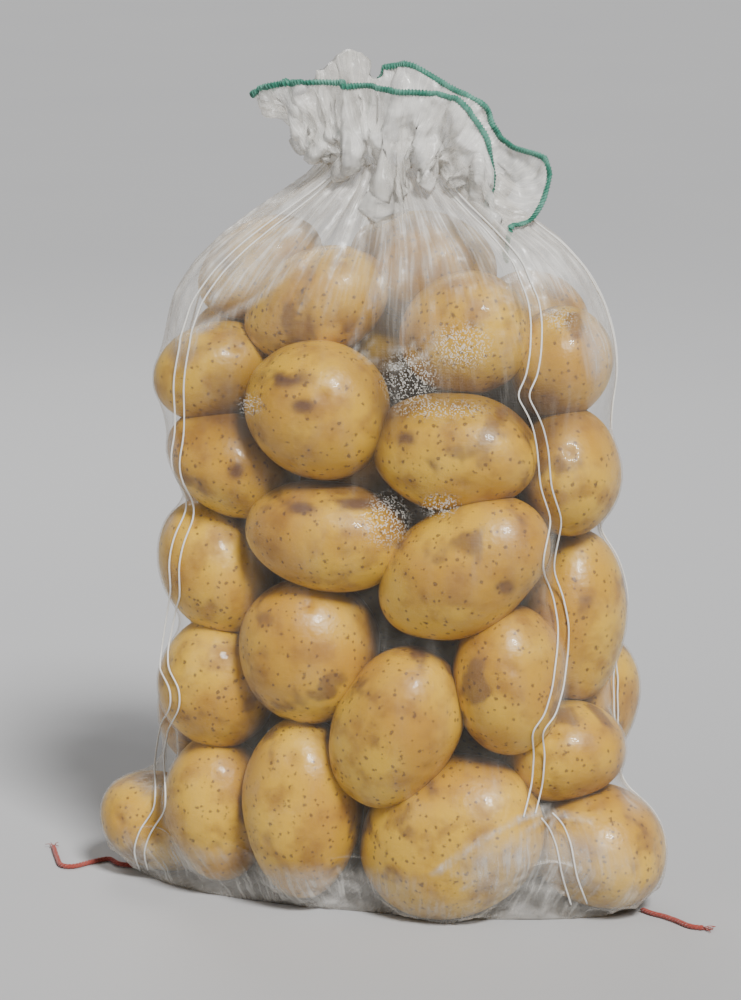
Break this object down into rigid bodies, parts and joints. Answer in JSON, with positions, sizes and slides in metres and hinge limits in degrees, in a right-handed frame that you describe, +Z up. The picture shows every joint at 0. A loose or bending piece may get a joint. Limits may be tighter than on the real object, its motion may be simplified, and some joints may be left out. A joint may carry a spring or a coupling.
{
  "type": "potato sack",
  "caption": "Filled sheer woven sack of potatoes, standing on its base with a gathered neck, a crumpled head with a green hem and red yarn ends at the bottom corners.",
  "frame": {"origin": "middle of the flat base, on the surface that the sack stands on", "axes": "+Z up to the gathered mouth, -Y towards the front in the picture, X along the bottom seam from ear to ear"},
  "size_m": [0.3192, 0.1473, 0.377],
  "materials": {
    "sheer_cloth": "sheer whitish woven plastic thread with a soft gloss",
    "green_overlock": "overlocked thread",
    "red_yarn": "twisted yarn, frayed at its ends",
    "potato_skin": "thin yellow potato skin with small brown specks"
  },
  "bodies": {
    "root": {"sack_cloth": "sheer_cloth", "hem_binding": "green_overlock", "closing_yarn_left": "red_yarn", "closing_yarn_right": "red_yarn", "potato_01": "potato_skin", "potato_02": "potato_skin", "potato_03": "potato_skin", "potato_04": "potato_skin", "potato_05": "potato_skin", "potato_06": "potato_skin", "potato_07": "potato_skin", "potato_08": "potato_skin", "potato_09": "potato_skin", "potato_10": "potato_skin", "potato_11": "potato_skin", "potato_12": "potato_skin", "potato_13": "potato_skin", "potato_14": "potato_skin", "potato_15": "potato_skin", "potato_16": "potato_skin", "potato_17": "potato_skin", "potato_18": "potato_skin", "potato_19": "potato_skin", "potato_20": "potato_skin", "potato_21": "potato_skin", "potato_22": "potato_skin", "potato_23": "potato_skin", "potato_24": "potato_skin", "potato_25": "potato_skin", "potato_26": "potato_skin", "potato_27": "potato_skin", "potato_28": "potato_skin", "potato_29": "potato_skin", "potato_30": "potato_skin", "potato_31": "potato_skin", "potato_32": "potato_skin", "potato_33": "potato_skin", "potato_34": "potato_skin", "potato_35": "potato_skin", "potato_36": "potato_skin", "potato_37": "potato_skin", "potato_38": "potato_skin", "potato_39": "potato_skin", "potato_40": "potato_skin"}
  },
  "joints": []
}
